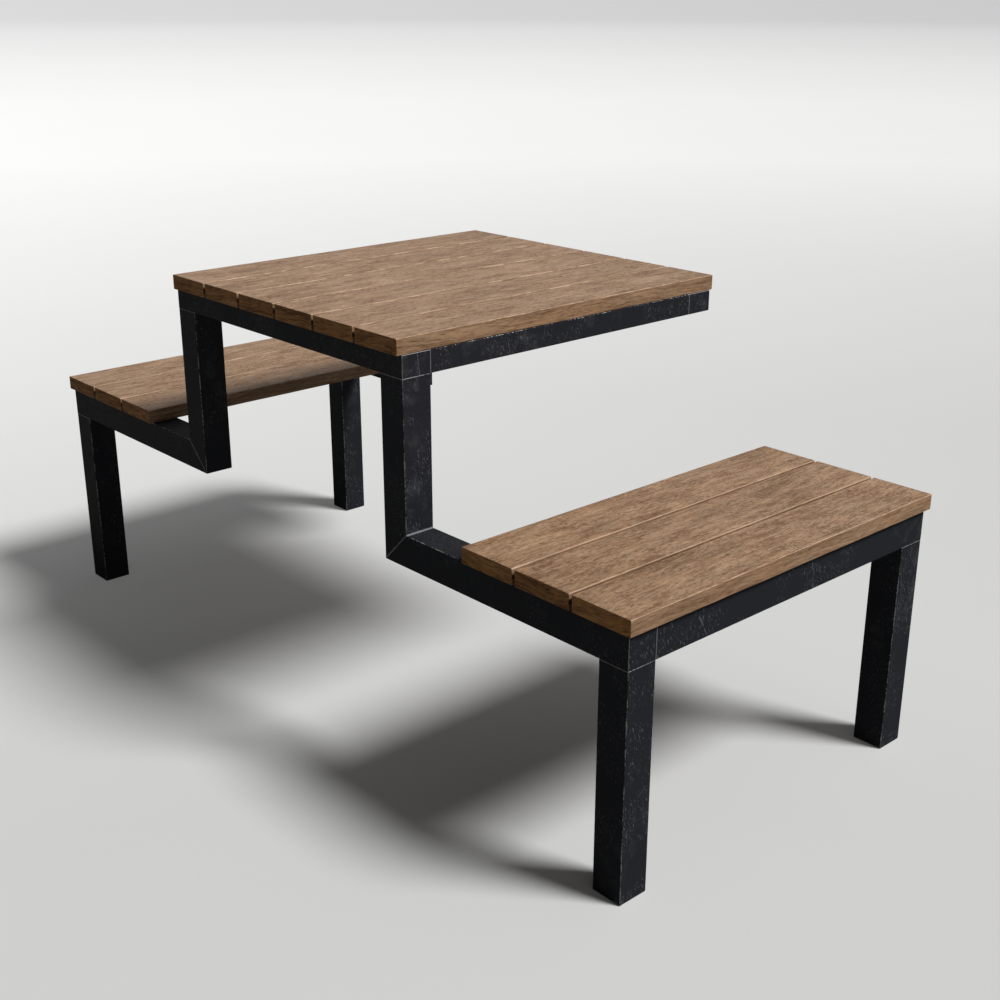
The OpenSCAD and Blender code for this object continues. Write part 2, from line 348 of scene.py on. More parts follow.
def weathered_wood(shader):
    """Oiled hardwood left outdoors: mottled tan with dark grain along Y, pores in groups and pale rubbed
    arrises, which on the side of a gap that faces +X are also a painted highlight. The tops are mixed
    towards a paler, greyer colour as a painted sheen, the gaps are darkened as painted shade, and growth
    rings run across the sawn ends."""
    look = bpy.context.scene.picnic_boards
    board, bleach = shader.mark("board"), shader.mark("bleach")
    across, along = shader.mark("across"), shader.mark("along")
    top, upper, gap = shader.mark("top"), shader.mark("upper"), shader.mark("gap")
    sawn = along < 0.02
    shift = shader.add("ShaderNodeCombineXYZ", {}, {0: board * 37.0, 1: board * 11.0, 2: board * 23.0})
    place = shader.vector("ADD", shader.place(), shift)
    wander = shader.noise(place, (5.0, 1.8, 5.0), 2.0, output=1)
    sway = shader.vector("MULTIPLY", shader.vector("SUBTRACT", wander, (0.5, 0.5, 0.5)), (0.06, 0.0, 0.06))
    fibre = shader.vector("ADD", place, sway)

    def grain(across_scale, along_scale, detail, roughness=0.6, distortion=0.0):
        """Noise drawn out along the fibres, more so on the sides, and along X on a sawn end."""
        top_face = (across_scale, along_scale, across_scale)
        side_face = (across_scale, along_scale * 0.5, across_scale * 1.7)
        end_face = (across_scale * 0.12, along_scale, across_scale * 1.6)
        scale = shader.mix(top < 0.5, top_face, side_face, kind="VECTOR")
        scale = shader.mix(sawn, scale, end_face, kind="VECTOR")
        return shader.noise(fibre, scale, detail, roughness, distortion)

    clouds = shader.noise(place, (10.0, 3.6, 10.0), 2.0)
    hue = shader.noise(place, (26.0, 9.0, 26.0), 5.0, 0.75)
    mottle = grain(46.0, 11.0, 5.0, 0.75, 0.2)
    lines = grain(160.0, 14.0, 4.0, 0.75, 0.3)
    threads = grain(440.0, 110.0, 2.0, 0.7)
    pores = grain(420.0, 80.0, 2.0, 0.5)
    groups = shader.noise(fibre, (45.0, 15.0, 45.0), 3.0)

    flecks = pores.step(0.55, 0.64) * groups.step(0.40, 0.58)
    tone = (clouds - 0.5) * 0.6 + (mottle - 0.5) * 1.4 + (lines - 0.5) * 1.5 + (threads - 0.5) * 1.4
    # Painted sheen on the tops: each board's own number lowers their contrast, shifts their tone, thins the
    # redder patches and mixes in the paler, greyer colour
    contrast = 1.10 + sawn * 0.35 + top * (0.14 - bleach * 0.19)
    tone = (tone - flecks * 0.36) * contrast + 0.53 - top * (0.10 - bleach * 0.05)
    redder = hue.step(0.44, 0.62) * (1.1 - bleach * top * 0.6)
    base = shader.mix(bleach * top * (0.15 - redder * 0.08), look.tan, look.bleached_and_sheen)
    base = shader.mix(redder * 0.55, base, look.brown)
    colour = shader.mix(1.0, base, shader.mix(tone, look.grain, brighter_than(look.grain)), "MULTIPLY")

    # Pale along the upper arrises, and painted shade on the sides in the gaps between boards: all over a
    # side
    # # that faces -X, and on a side that faces +X below its sunlit upper millimetres, which reach deeper at
    # # each end's mouth
    ragged = shader.noise(place, (240.0, 60.0, 240.0), 2.0)
    worn = shader.noise(place, (60.0, 24.0, 60.0), 4.0, 0.65).step(0.42, 0.60)
    # Pale rubbed line along the upper arrises: wear, and on the side of a gap that faces +X, where it
    # reaches further, also a painted highlight; it is left off the sides that face -X
    edge = across - gap.most(0.0) * 0.5 + (ragged - 0.5) * 2.6
    rubbed = edge.step(0.9, 0.2) * upper * gap.step(-0.5, -0.1) * worn.most(1.1 - bleach)
    colour = shader.mix(rubbed * (0.66 + bleach * 0.2), colour, scaled(look.bleached_and_sheen, 1.8))
    mouth = along.step(9.0, 4.0)
    shaded = ((0.0 - gap) * 1.3).most(gap * (across - mouth * 6.0).step(1.8, 4.6)) * (1.0 - sawn)
    colour = shader.mix(1.0, colour, shader.mix(shaded, (1.0, 1.0, 1.0), (0.34, 0.22, 0.15)), "MULTIPLY")
    colour = shader.mix(1.0, colour, shader.mix(sawn, (1.0, 1.0, 1.0), (1.24, 0.93, 0.48)), "MULTIPLY")
    height = threads * 0.15 + (mottle + lines) * 0.5 - flecks * 0.5
    shader.surface(
        Base_Color=colour,
        Roughness=0.68 - tone * 0.12 + flecks * 0.1,
        Specular_IOR_Level=0.30,
        Normal=shader.bump(height, 0.22 * MM, 0.8),
    )


# Long single scratches on the right side's outer faces: X of the face, and Y and Z of both ends
SCRATCHES = (
    (0.32700, (-0.3265, 0.724), (-0.3220, 0.686)),
    (0.80825, (0.0490, 0.434), (0.0577, 0.377)),
    (0.80825, (-0.2118, 0.416), (-0.1926, 0.379)),
)


def long_scratch(shader, place, face, start, end):
    """A mask along one wavering line on a face across X, from start to end in the YZ plane."""
    x, y, z = (shader.part(place, axis) for axis in range(3))
    run_y, run_z = end[0] - start[0], end[1] - start[1]
    length = math.hypot(run_y, run_z)
    y, z = y - start[0], z - start[1]
    waver = (shader.noise(place, 70.0, 2.0) - 0.5) * 1.6 * MM
    off = y * (run_z / length) - z * (run_y / length) + waver
    run = y * (run_y / length) + z * (run_z / length)
    line = off.math("ABSOLUTE", off).step(0.65 * MM, 0.25 * MM)
    part = run.step(-0.5 * MM, 1.5 * MM) * run.step(length + 0.5 * MM, length - 1.5 * MM)
    return line * part * x.step(face - 0.5 * MM, face - 0.3 * MM)


def worn_paint(shader):
    """Black paint on steel tube: cloudy chalked patches, fine specks and thin scratches, and bright
    bare steel in a ragged line where the marks across and along say that a corner or a joint is near.
    Faces that look up carry painted shade: they are darker and hardly chalked. They are also rougher."""
    look = bpy.context.scene.picnic_steel
    place = shader.place()
    across, along = shader.mark("across"), shader.mark("along")

    clouds = shader.noise(place, 6.5, 4.0, 0.6, 0.5)
    mottle = shader.noise(place, 38.0, 5.0, 0.68, 0.8)
    runs = shader.noise(place, (160.0, 160.0, 75.0), 3.0, 0.65, 0.8)
    grit = shader.noise(place, (430.0, 430.0, 150.0), 2.0, 0.6)
    upward = shader.part(shader.add("ShaderNodeNewGeometry", output=1), 2).step(0.3, 0.6)
    # Chalk is mostly left off faces that look up, which keeps them dark as painted shade
    worked = clouds.step(0.48, 0.60) * (1.0 - upward * 0.8)
    streaks = mottle.step(0.46, 0.60) * runs.step(0.50, 0.66)
    rubbed = worked * (mottle.step(0.44, 0.68) * 0.40 + streaks * 0.50)
    specks = grit.step(0.69, 0.76) * mottle.step(0.50, 0.60) * worked

    def scratches(turn, stretch, rarity):
        """Thin lines one way: noise drawn out along them, and cut off near its top."""
        turned = shader.add("ShaderNodeMapping", {}, {"Vector": place, "Rotation": turn})
        return shader.noise(turned, stretch, 1.0, 0.5).step(rarity, rarity + 0.03)

    slanted = scratches((-0.29, 0.2, 0.0), (640.0, 640.0, 12.0), 0.65)
    crossing = scratches((0.8, 0.3, 1.1), (760.0, 760.0, 14.0), 0.70)
    marks = slanted.most(crossing) * shader.noise(place, 12.0, 1.0).step(0.46, 0.56) * 0.50
    fresh = shader.noise(place, 190.0, 2.0).step(0.36, 0.52)
    for scratch in SCRATCHES:
        marks = marks.most(long_scratch(shader, place, *scratch) * fresh * 0.85)

    ragged = shader.noise(place, 290.0, 2.0, 0.6)
    broken = shader.noise(place, 34.0, 2.0)
    reach = look.wear / MM
    corner = (across + (ragged - 0.5) * 3.8 + (broken - 0.5) * 3.6).step(reach + 0.30, reach - 0.40)
    joint = (along + (ragged - 0.5) * 1.8 + (broken - 0.5) * 1.0).step(reach + 0.25, reach - 0.40)
    bare = corner.most(joint)

    # Painted shade: faces that look up are darkened towards 30 % of the paint
    colour = shader.mix(upward * 0.7, look.paint, scaled(look.paint, 0.3))
    colour = shader.mix(rubbed.least(1.0), colour, look.chalk)
    colour = shader.mix((specks * 0.17 + marks).least(1.0), colour, scaled(look.chalk, 3.0))
    colour = shader.mix(bare, colour, look.bare)
    shader.surface(
        Base_Color=colour,
        Metallic=bare * 0.85,
        Roughness=0.55 + (mottle - 0.5) * 0.25 - bare * 0.18 + rubbed * 0.10 + upward * 0.35,
        Specular_IOR_Level=0.26,
        Normal=shader.bump(mottle * 0.5 + grit * 0.15 - bare * 0.35 - marks * 0.5, 0.25 * MM, 0.6),
    )


def foot_moulding(shader):
    """Black moulded plastic with a fine orange-peel skin, dusty towards the floor."""
    look = bpy.context.scene.picnic_fittings
    place = shader.place()
    skin = shader.noise(place, 900.0, 3.0, 0.6)
    cloud = shader.noise(place, 70.0, 4.0, 0.65)
    dusty = cloud.step(0.40, 0.70) * shader.part(place, 2).step(0.012, 0.0) * 0.6
    shader.surface(
        Base_Color=shader.mix(dusty, look.moulding, look.dust),
        Roughness=0.55 + dusty * 0.3 + (skin - 0.5) * 0.2,
        Specular_IOR_Level=0.4,
        Normal=shader.bump(skin, 0.08 * MM, 0.6),
    )


def zinc_plate(shader):
    """Zinc plating on the screws: a fine crystal spangle under a dull, uneven film."""
    look = bpy.context.scene.picnic_fittings
    place = shader.place()
    spangle = shader.add("ShaderNodeTexVoronoi", {}, {"Vector": place, "Scale": 1400.0})
    film = shader.noise(place, 260.0, 4.0, 0.6)
    shader.surface(
        Base_Color=shader.mix(film.step(0.42, 0.72) * 0.5, look.zinc, scaled(look.zinc, 0.45)),
        Metallic=1.0,
        Roughness=0.30 + film * 0.25,
        Normal=shader.bump(spangle + film * 0.6, 0.05 * MM, 0.5),
    )


# Where the camera stands, in metres, and how it is turned, in radians
CAMERA_PLACE = (1.93246, -1.60368, 1.24649)
CAMERA_TURN = (1.21463415, -0.00084555, 0.83679591)
# The point that the floor's glow is measured from, and the way that it leans: fully where a spot lies
# this much that way for each metre of its distance
GLOW_CENTRE, LEAN_WAY, LEAN_REACH = (1.93, -1.60), (-0.670, -0.742), 0.34
# Unit vectors: out to the key's side and up, and from the table to the middle of the sheen
KEY_SIDE = (0.643, 0.766)
BEHIND = (-0.706, 0.640, 0.304)

# The floor's glow, and how much it leans to the left, by distance: 1, 1.9, 2.6, 3.2, 4.2, 6.8, 11, 16,
# 25, 53 and 120 m, spaced as logarithms
FLOOR_STOPS = (
    (0.0, 0.0, 0.0), (0.14, 0.015, 0.0), (0.20, 0.055, 0.0), (0.245, 0.085, 0.03), (0.30, 0.12, 0.06),
    (0.40, 0.22, 0.08), (0.50, 0.35, 0.066), (0.585, 0.35, 0.066), (0.67, 0.29, 0.066), (0.83, 0.045, 0.062),
    (1.0, 0.0, 0.046),
)

# How much of the floor's light reaches the table from dull surfaces, and how much is mirrored in it
FLOOR_BOUNCE, FLOOR_MIRRORED = 0.31, 0.20


def pale_floor(shader):
    """Pale painted floor that takes the shadows near the table. Its own glow grows with the logarithm
    of the distance, is strongest in a band behind the table, and takes over far away. Near the table
    the glow is painted light that lifts the shadows, in place of the floor's dull reflection of a bright
    backdrop."""
    look = bpy.context.scene.picnic_stage
    place = shader.place()
    x, y = (shader.part(place, axis) - GLOW_CENTRE[axis] for axis in (0, 1))
    distance = (x * x + y * y).most(0.01) ** 0.5
    log = distance.math("LOGARITHM", distance, 10.0) / 2.08
    ramp = shader.add("ShaderNodeValToRGB", {"stops": FLOOR_STOPS}, {0: log})
    level, lean = (shader.add("ShaderNodeSeparateColor", {}, {0: ramp}, n) for n in (0, 1))
    leftward = x * LEAN_WAY[0] + y * LEAN_WAY[1]
    side = (leftward / distance / LEAN_REACH).most(-1.3).least(1.3)
    far = distance.step(20.0, 45.0)
    glow = level + side * lean + far * 0.62
    # A cloudy tone that gets darker with the distance
    clouds = shader.noise(place, 0.9, 3.0) * 0.03 + 1.005 - log * 0.20
    tone = shader.add("ShaderNodeCombineColor", {}, {0: clouds, 1: clouds, 2: clouds})
    near_colour = shader.mix(1.0, tone, look.floor, "MULTIPLY")
    bounced, mirrored = (shader.add("ShaderNodeLightPath", output=n) for n in (2, 3))
    shader.surface(
        hidden=bounced * (1.0 - FLOOR_BOUNCE) + mirrored * (1.0 - FLOOR_MIRRORED),
        Base_Color=shader.mix(far, near_colour, (0.0, 0.0, 0.0)),
        Specular_IOR_Level=0.0,
        Emission_Color=shader.add("ShaderNodeCombineColor", {}, {0: glow, 1: glow, 2: glow}),
        Emission_Strength=1.0,
    )


# Surfaces


def span(node):
    """The lowest and the highest corner of a CAD node, in metres."""
    low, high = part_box(node)
    return np.array(low), np.array(high)


def outline(across_a, across_b, arc=6):
    """The walk round a rectangle with round corners, as two arrays (k, 2).

    A point of the outline is F * (half - radius) + U * radius. On a corner arc F is (+-1, +-1) and U
    is the unit vector at the arc's angle. On a flat, U is its normal, and F takes the given
    fractions along it.
    """
    turn = np.radians(np.linspace(0, 90, arc + 1))
    a, b, corner = np.ones(len(across_a)), np.ones(len(across_b)), np.ones(arc + 1)
    walk = [
        (across_a, -a, 0 * a, -a),
        (corner, -corner, np.sin(turn), -np.cos(turn)),
        (b, across_b, b, 0 * b),
        (corner, corner, np.cos(turn), np.sin(turn)),
        (across_a[::-1], a, 0 * a, a),
        (-corner, corner, -np.sin(turn), np.cos(turn)),
        (-b, across_b[::-1], -b, 0 * b),
        (-corner, -corner, -np.cos(turn), -np.sin(turn)),
    ]
    columns = np.array([np.concatenate(parts) for parts in zip(*walk)]).T
    return columns[:, :2], columns[:, 2:]


def sections(factor, way, half, radius):
    """The outline of each ring of a grid: F * (half - radius) + U * radius, as an array (n, k, 2)."""
    half = np.reshape(half, (-1, 1, 2))
    radius = np.reshape(radius, (len(half), -1, 1))
    return factor * (half - radius) + way * radius


def from_corner(factor, way, half, radius):
    """Distance of each point of an outline from the middle of the nearest corner arc, in millimetres:
    (1 - |F|) * (half - radius) along the flat, and radius times the angle from 45 degrees."""
    on_flat = ((1 - np.abs(factor)) * (half - radius)).sum(axis=1)
    angle = np.arctan2(np.abs(way[:, 1]), np.abs(way[:, 0]))
    return (on_flat + radius * np.abs(angle - math.pi / 4)) / MM


def eased_end(easing):
    """Stations of a quarter-round edge at an end: its length e * (1 - cos t), its inset e * (1 - sin t)
    and its distance e * |t - 45 degrees| from the middle of the edge, for t from 0 to 90 degrees."""
    turn = np.radians([0, 22.5, 45, 67.5, 90])
    return easing * (1 - np.cos(turn)), easing * (1 - np.sin(turn)), easing * np.abs(turn - math.pi / 4)


def strips(first, second):
    """Quads between two closed rings of point numbers, or between two stacks of rings."""
    return np.stack([first, np.roll(first, -1, -1), np.roll(second, -1, -1), second], axis=-1).reshape(-1, 4)


def make(name, points, quads, caps, marks, paint, nodes, mirrored=False):
    """One object from arrays: points (n, 3), quads (m, 4), caps as rings of point numbers, and the
    numbers that each point carries. Faces are turned over when the signed volume, the sum of
    a . (b x c) over the triangles, is negative, so that they point outwards."""
    points = points * (-1 if mirrored else 1, 1, 1)
    a, b, c, d = (points[quads[:, i]] for i in range(4))
    volume = (a * (np.cross(b, c) + np.cross(c, d))).sum()
    for cap in caps:
        ring = points[cap]
        volume += (ring.mean(axis=0) * np.cross(ring, np.roll(ring, -1, axis=0))).sum()
    way = -1 if volume < 0 else 1
    mesh = bpy.data.meshes.new(name)
    mesh.from_pydata(points.tolist(), [], quads[:, ::way].tolist() + [cap[::way].tolist() for cap in caps])
    for mark, numbers in marks.items():
        layer = mesh.attributes.new(mark, "FLOAT", "POINT")
        layer.data.foreach_set("value", np.broadcast_to(numbers, len(points)).astype(np.float32))
    mesh.polygons.foreach_set("use_smooth", np.ones(len(mesh.polygons), bool))
    mesh.set_sharp_from_angle(angle=math.radians(40))
    mesh.materials.append(finish(paint))
    piece = bpy.data.objects.new(name, mesh)
    bpy.context.scene.collection.objects.link(piece)
    piece.modifiers.new("Flat faces stay flat", "WEIGHTED_NORMAL").keep_sharp = True
    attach(piece, "root")
    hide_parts(*nodes)
    return piece


def slow_wave(where, seed, longest, waves=6):
    """A smooth wander between about -1 and 1: a sum of sines of falling length and seeded phase."""
    phase = np.random.default_rng(seed).uniform(0, 2 * math.pi, waves)
    lengths, size = longest * 0.62 ** np.arange(waves), 0.8 ** np.arange(waves)
    wave = (size * np.sin(2 * math.pi * where[:, None] / lengths + phase)).sum(axis=1)
    return np.clip(1.6 * wave / size.sum(), -1, 1)


def board(node, seed, bleach, gaps):
    """A sawn board along Y: a section with round corners carried from end to end.

    Ring i stands at y_i and is drawn in by i_i. Each corner's radius is
    arris * (1 + 0.4 * wave(y_i)) - i_i, so that the arrises are worn unevenly. At an end the rings
    follow a quarter round, and two more lead in to a flat cap. The marks say how far a point faces
    upwards, whether it is in the upper half, and how far it faces a gap, from -1 on the -X side to 1
    on the +X side.
    """
    look = bpy.context.scene.picnic_boards
    low, high = span(node)
    half, middle = (high - low)[[0, 2]] / 2, (high + low) / 2
    length = high[1] - low[1]
    ease, drawn_in, _ = eased_end(look.end_easing)
    lead = np.array([3, 8, 16, 28]) * MM
    cap_in = np.array([7.5, 3.0]) * MM
    start = np.concatenate([0 * cap_in, ease, lead])
    start_in = np.concatenate([cap_in, drawn_in, 0 * lead])
    body = np.linspace(0.045, length - 0.045, 48)
    y = np.concatenate([start, body, length - start[::-1]])
    inset = np.concatenate([start_in, 0 * body, start_in[::-1]])

    factor, way = outline(
        np.array([-0.97, -0.9, -0.75, -0.45, -0.15, 0.15, 0.45, 0.75, 0.9, 0.97]),
        np.array([-0.85, -0.5, 0, 0.5, 0.85]),
    )
    corner_number = (factor[:, 0] > 0) * 2 + (factor[:, 1] > 0)
    worn = np.stack([slow_wave(y, seed * 10 + c, 0.31) for c in range(4)], axis=1)[:, corner_number]
    radius = np.maximum(look.arris * (1 + 0.4 * worn) - inset[:, None], 0.25 * MM)
    ring = sections(factor, way, half - inset[:, None], radius)
    points = np.empty((*ring.shape[:2], 3))
    points[..., 0], points[..., 2] = middle[0] + ring[..., 0], middle[2] + ring[..., 1]
    points[..., 1] = low[1] + y[:, None]
    across = from_corner(factor, way, half, look.arris) + 0 * inset[:, None]
    across = np.where(inset[:, None] > look.end_easing, inset[:, None] / MM, across)
    along = np.minimum(y, length - y)[:, None] / MM + 0 * across
    number = np.arange(across.size).reshape(across.shape)
    facing = np.minimum(way[:, 0], 0) * gaps[0] + np.maximum(way[:, 0], 0) * gaps[1]
    marks = {
        "across": across.ravel(), "along": along.ravel(), "board": seed * 0.381966 % 1.0, "bleach": bleach,
        "top": np.tile(np.maximum(way[:, 1], 0), len(y)), "upper": np.tile(factor[:, 1] > 0, len(y)),
        "gap": np.tile(facing, len(y)),
    }
    make(
        f"board_{node}", points.reshape(-1, 3), strips(number[:-1], number[1:]),
        (number[0][::-1], number[-1]), marks, weathered_wood, [node],
    )


# Each access hole stands in a square of the wall's grid: half its width, its rows and their stations
CELL = 10 * MM
CELL_ROWS = 8
CELL_STEPS = np.linspace(-CELL, CELL, CELL_ROWS + 1)
# About how far apart a tube's plain rings stand
RING_STEP = 45 * MM
# Millimetres added to a tube's marks, so that its paint is less worn there: at the corners and at the
# # ends of a tube along X, Y or Z, where a number below 0 wears it more, and at a lying tube's underside,
# # whose lower corners are kept dark as painted shade
CORNER_SPARED, END_SPARED, LOWER_SPARED_SHADE = (0.3, 0.75, 0.3), (0.0, -0.35, 0.3), 2.5
# Millimetres taken off them, so that it is more worn: at a mitre's crease and at an upright's front,
# # where the wider bare line is partly a painted highlight
CREASE_WORN_HIGHLIGHT, FRONT_WORN_HIGHLIGHT = 1.0, 0.6


def tube_axes(axis):
    """Unit vectors of a tube: along it, sideways and upwards."""
    return np.eye(3)[axis], np.eye(3)[0 if axis else 1], np.eye(3)[1 if axis == 2 else 2]


def body_stations(begin, stop, holes):
    """Stations of a tube's plain rings and of the rows of each hole's square."""
    plain = np.linspace(begin, stop, max(3, round((stop - begin) / RING_STEP)))
    clear = [np.abs(plain - hole) > CELL + 2 * MM for hole in holes]
    plain = plain[np.all(clear, axis=0)] if clear else plain
    return np.sort(np.concatenate([plain, *(hole + CELL_STEPS for hole in holes)]))


def wall_outline(half, radius):
    """An outline with a column on each step of the squares, and two near each corner."""
    flat = half - radius
    near = flat[:, None] - np.array([4, 9]) * MM
    a = np.concatenate([-near[0], CELL_STEPS, near[0][::-1]]) / flat[0]
    b = np.concatenate([-near[1], [0], near[1][::-1]]) / flat[1]
    return outline(a, b)


def square_walk():
    """Row and column of each grid point in a walk round a hole's square, and the angle of the point of
    the circle that it leads to."""
    count = np.arange(CELL_ROWS)
    zero, full = 0 * count, 0 * count + CELL_ROWS
    rows = np.concatenate([zero, count, full, CELL_ROWS - count])
    columns = 2 + np.concatenate([count, full, CELL_ROWS - count, zero])
    return rows, columns, math.radians(-135) + 2 * math.pi * np.arange(4 * CELL_ROWS) / (4 * CELL_ROWS)


def hole_rims(r, wall):
    """Radius, depth and mark of each ring of a hole: over a small chamfer, and through the wall."""
    return np.array([
        [r + 1.2 * MM, 0, 1.2], [r + 0.35 * MM, 0, 0.3], [r + 0.1 * MM, 0.1 * MM, 0],
        [r, 0.35 * MM, 0.3], [r, wall - 0.1 * MM, 2.3],
    ])


def tube(node, axis, mitre=(0.0, 0.0), holes=(), mirrored=False):
    """A hollow tube: its section is carried along the outside, back along the bore, and joined at both
    ends.

    Ring i stands at t_i + m_i * (mitre . (a, b)), where m_i is 1 near a mitred start and 0 elsewhere,
    and each end's outer edge is a fine quarter round. Round a hole, a square is left out of both
    walls. Rings lead from it to a circle, over a small chamfer and through the wall:
    centre + r_j * (cos s, sin s) at depth d_j.
    """
    look = bpy.context.scene.picnic_steel
    low, high = span(node)
    if mirrored:
        low[0], high[0] = -high[0], -low[0]
    t_axis, a_axis, b_axis = tube_axes(axis)
    middle, size = (low + high) / 2, high - low
    middle[axis] = 0
    half = np.array([size @ a_axis, size @ b_axis]) / 2
    start, end = low[axis], high[axis]
    slope = np.array(mitre)
    reach = slope @ half

    # Stations along the tube: both ends, plain rings between, and the rows of each hole's square
    ease, drawn_in, bevel = eased_end(look.end_easing)
    lead = np.array([1.2, 3.2, 8.0]) * MM
    to_end = np.concatenate([ease, look.end_easing + lead])
    end_in = np.concatenate([drawn_in, 0 * lead])
    end_mark = np.concatenate([bevel, bevel[-1] + lead]) / MM
    body = body_stations(start + 2 * reach + 14 * MM, end - 12 * MM, holes)
    t = np.concatenate([start + reach + to_end * math.hypot(1, reach / half[0]), body, end - to_end[::-1]])
    mitred = np.arange(len(t)) < len(to_end)
    inset = np.concatenate([end_in, 0 * body, end_in[::-1]])
    along = np.concatenate([end_mark, FAR + 0 * body, end_mark[::-1]])
    t_bore = np.concatenate([[start + reach], body, [end]])
    mitred_bore = np.arange(len(t_bore)) < 1

    def placed(t_ring, mitred_ring, ring):
        shift = t_ring[:, None] + mitred_ring[:, None] * (ring @ slope)
        return middle + shift[..., None] * t_axis + ring[..., :1] * a_axis + ring[..., 1:] * b_axis

    factor, way = wall_outline(half, look.corner)
    radius = np.maximum(look.corner - inset, 0.2 * MM)
    outside = placed(t, mitred, sections(factor, way, half - inset[:, None], radius))
    across = from_corner(factor, way, half, look.corner)
    across = across + CORNER_SPARED[axis]
    # A mitre's crease and an upright's front are worn wider, partly as painted highlight; a lying tube's
    # underside less, as painted shade
    crease = mitred[:, None] & (way @ slope > 0.5)
    along = along[:, None] + END_SPARED[axis] - CREASE_WORN_HIGHLIGHT * crease
    if axis == 2:
        along = along - FRONT_WORN_HIGHLIGHT * (way[:, 1] < -0.5)
    else:
        across = np.where((factor[:, 1] < 0) | (way[:, 1] < 0), across + LOWER_SPARED_SHADE, across)
    bore_factor, bore_way = wall_outline(half - look.wall, look.bore_corner)
    bore_half = half - look.wall + 0 * t_bore[:, None]
    bore_rings = sections(bore_factor, bore_way, bore_half, look.bore_corner + 0 * t_bore)
    inside = placed(t_bore, mitred_bore, bore_rings)
    out_no = np.arange(len(t) * len(factor)).reshape(len(t), -1)
    in_no = np.arange(len(t_bore) * len(factor)).reshape(len(t_bore), -1) + out_no.size
    points = [outside.reshape(-1, 3), inside.reshape(-1, 3)]
    marks = {
        "across": [np.tile(across, len(t)), np.full(in_no.size, FAR)],
        "along": [along.ravel(), np.full(in_no.size, FAR)],
    }
    out_quads = strips(out_no[:-1], out_no[1:]).reshape(len(t) - 1, -1, 4)
    in_quads = strips(in_no[1:], in_no[:-1]).reshape(len(t_bore) - 1, -1, 4)
    out_kept, in_kept = np.ones(out_quads.shape[:2], bool), np.ones(in_quads.shape[:2], bool)
    quads = [strips(in_no[0], out_no[0]), strips(out_no[-1], in_no[-1])]

    rim = hole_rims(look.access / 2, look.wall)[:, :, None]
    row_walk, column_walk, s = square_walk()
    made = out_no.size + in_no.size
    for hole in holes:
        row_out, row_in = (int(np.abs(stations - hole + CELL).argmin()) for stations in (t, t_bore))
        out_kept[row_out:row_out + CELL_ROWS, 2:2 + CELL_ROWS] = False
        in_kept[row_in:row_in + CELL_ROWS, 2:2 + CELL_ROWS] = False
        shift, a, b = hole + rim[:, 0] * np.sin(s), rim[:, 0] * np.cos(s), rim[:, 1] - half[1] + 0 * s
        spots = middle + shift[..., None] * t_axis + a[..., None] * a_axis + b[..., None] * b_axis
        points.append(spots.reshape(-1, 3))
        ring_no = made + np.arange(a.size).reshape(a.shape)
        made += a.size
        marks["across"].append(np.full(a.size, FAR))
        marks["along"].append(np.repeat(rim[:, 2], len(s)))
        outer, inner = out_no[row_out + row_walk, column_walk], in_no[row_in + row_walk, column_walk]
        rings = np.concatenate([outer[None], ring_no, inner[None]])
        quads.append(strips(rings[:-1], rings[1:]))
    quads += [out_quads[out_kept], in_quads[in_kept]]
    make(
        f"tube_{node}", np.concatenate(points), np.concatenate(quads), (),
        {mark: np.concatenate(parts) for mark, parts in marks.items()}, worn_paint, [node], mirrored,
    )


def plate(node, axis, outward):
    """The plate that closes a tube's end: rings of one outline, drawn in by i_j at station t_j, from
    its back over a fine eased edge to its face, with a flat cap at both ends."""
    look = bpy.context.scene.picnic_steel
    low, high = span(node)
    t_axis, a_axis, b_axis = tube_axes(axis)
    size, middle = high - low, (low + high) / 2
    middle[axis] = 0
    front, back = (high[axis], low[axis]) if outward > 0 else (low[axis], high[axis])
    fine = 0.15 * MM
    t = np.array([back, back, back, front - outward * fine, front, front, front])
    inset = np.array([6 * MM, 2 * MM, 0, 0, fine, 2 * MM, 6 * MM])
    factor, way = outline(np.linspace(-0.8, 0.8, 5), np.linspace(-0.8, 0.8, 5))
    half = np.array([size @ a_axis, size @ b_axis]) / 2
    ring = sections(factor, way, half - inset[:, None], np.maximum(look.bore_corner - inset, 0.3 * MM))
    points = middle + t[:, None, None] * t_axis + ring[..., :1] * a_axis + ring[..., 1:] * b_axis
    number = np.arange(len(t) * len(factor)).reshape(len(t), -1)
    make(
        f"plate_{node}", points.reshape(-1, 3), strips(number[:-1], number[1:]),
        (number[0][::-1], number[-1]), {"across": FAR, "along": FAR}, worn_paint, [node],
    )


def screw_lines(boards, least, most):
    """Stations along X of the screws up through a rail: one line in from each long edge of each
    board, where the screwdriver can reach between least and most."""
    look = bpy.context.scene.picnic_steel
    reach = look.access / 2
    edges = [span(node) for node in boards]
    lines = [x for low, high in edges for x in (low[0] + look.screw_inset, high[0] - look.screw_inset)]
    return [float(x) for x in lines if least + reach < x < most - reach]


def beam_lines():
    """Stations along Y of the two screws in each side beam, in from the front and the rear rail."""
    low, high = span("right_table_beam")
    inset = bpy.context.scene.picnic_steel.beam_inset
    return [float(low[1] + inset), float(high[1] - inset)]


def both_sides(part, *values, **named):
    """Makes a tube of the right side, and its mirror image on the left."""
    for side in SIDES:
        tube(f"{side}_{part}", *values, mirrored=side == "left", **named)


def cover(nodes, paint):
    """Gives CAD nodes that keep their shape a better material."""
    for node in nodes:
        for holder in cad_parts[node].material_slots:
            holder.material = finish(paint)


# Operators


